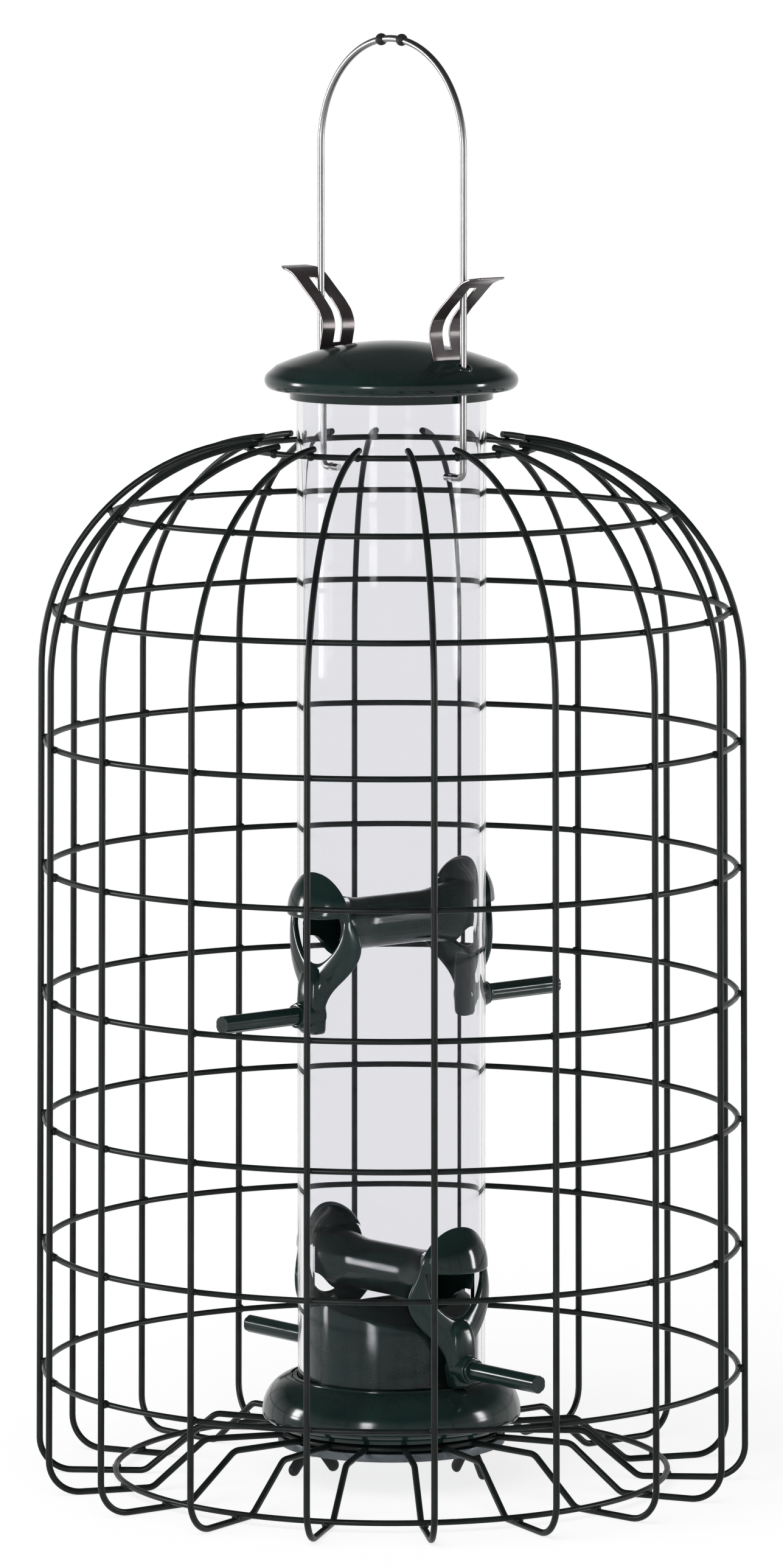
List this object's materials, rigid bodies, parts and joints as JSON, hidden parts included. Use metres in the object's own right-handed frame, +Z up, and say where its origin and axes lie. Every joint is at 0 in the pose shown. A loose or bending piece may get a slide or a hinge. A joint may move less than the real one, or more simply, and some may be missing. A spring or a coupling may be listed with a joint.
{
  "type": "hanging bird feeder",
  "caption": "Hanging seed feeder: a clear tube with hooded ports and perches inside a domed wire cage, with a sliding lid and a wire hanger.",
  "frame": {"origin": "on the ground under the middle of the cage, whose wire feet stand at z = 0", "axes": "+Z up; the upper ports lie along X, the lower ports and the hanger's plane along Y"},
  "size_m": [0.2412, 0.2406, 0.4878],
  "materials": {
    "green_plastic": "glossy, very dark green, moulded",
    "clear_plastic": "clear polycarbonate tube with a faint lavender tint",
    "coated_wire": "near-black powder coat, satin",
    "stainless_wire": "bright drawn stainless wire",
    "stainless_strip": "bright rolled spring strip",
    "bolt_steel": "plain machined",
    "zinc_plate": "dull zinc grey, satin",
    "black_plastic": "black moulded, fine texture"
  },
  "bodies": {
    "feeder": {"seed_tube": "clear_plastic", "base_cup": "green_plastic", "seed_deflector": "green_plastic", "upper_conduit": "green_plastic", "lower_conduit": "green_plastic", "upper_port_left": "green_plastic", "upper_port_right": "green_plastic", "lower_port_front": "green_plastic", "lower_port_back": "green_plastic", "upper_perch_left": "green_plastic", "upper_perch_right": "green_plastic", "lower_perch_front": "green_plastic", "lower_perch_back": "green_plastic", "cage_retaining_plate": "zinc_plate", "base_bolt_left": "bolt_steel", "base_bolt_right": "bolt_steel", "wing_nut_left": "black_plastic", "wing_nut_right": "black_plastic", "cage_rib_01": "coated_wire", "cage_rib_02": "coated_wire", "cage_rib_03": "coated_wire", "cage_rib_04": "coated_wire", "cage_rib_05": "coated_wire", "cage_rib_06": "coated_wire", "cage_rib_07": "coated_wire", "cage_rib_08": "coated_wire", "cage_rib_09": "coated_wire", "cage_rib_10": "coated_wire", "cage_rib_11": "coated_wire", "cage_rib_12": "coated_wire", "cage_rib_13": "coated_wire", "cage_rib_14": "coated_wire", "cage_rib_15": "coated_wire", "cage_rib_16": "coated_wire", "cage_rib_17": "coated_wire", "cage_rib_18": "coated_wire", "cage_hoop_01": "coated_wire", "cage_hoop_02": "coated_wire", "cage_hoop_03": "coated_wire", "cage_hoop_04": "coated_wire", "cage_hoop_05": "coated_wire", "cage_hoop_06": "coated_wire", "cage_hoop_07": "coated_wire", "cage_hoop_08": "coated_wire", "cage_top_ring": "coated_wire", "cage_foot_hoop": "coated_wire", "cage_base_ring": "coated_wire"},
    "bail": {"bail_wire": "stainless_wire", "front_hanger_bead": "black_plastic", "back_hanger_bead": "black_plastic"},
    "lid": {"lid_cap": "green_plastic"},
    "front_latch": {"front_latch_leaf": "stainless_strip"},
    "back_latch": {"back_latch_leaf": "stainless_strip"}
  },
  "joints": [
    {"name": "bail_swing", "type": "hinge", "parent": "feeder", "child": "bail", "pos_m": [0, 0, 0.3417], "axis": [0, 1, 0], "range_deg": [-1, 1]},
    {"name": "lid_slide", "type": "slide", "parent": "bail", "child": "lid", "axis": [0, 0, 1], "range_m": [0, 0.048]},
    {"name": "front_latch_pinch", "type": "hinge", "parent": "lid", "child": "front_latch", "pos_m": [0, -0.029, 0.38], "axis": [-1, 0, 0], "range_deg": [0, 7], "stiffness_Nm_per_rad": 0.2},
    {"name": "back_latch_pinch", "type": "hinge", "parent": "lid", "child": "back_latch", "pos_m": [0, 0.029, 0.38], "axis": [1, 0, 0], "range_deg": [0, 7], "stiffness_Nm_per_rad": 0.2}
  ]
}
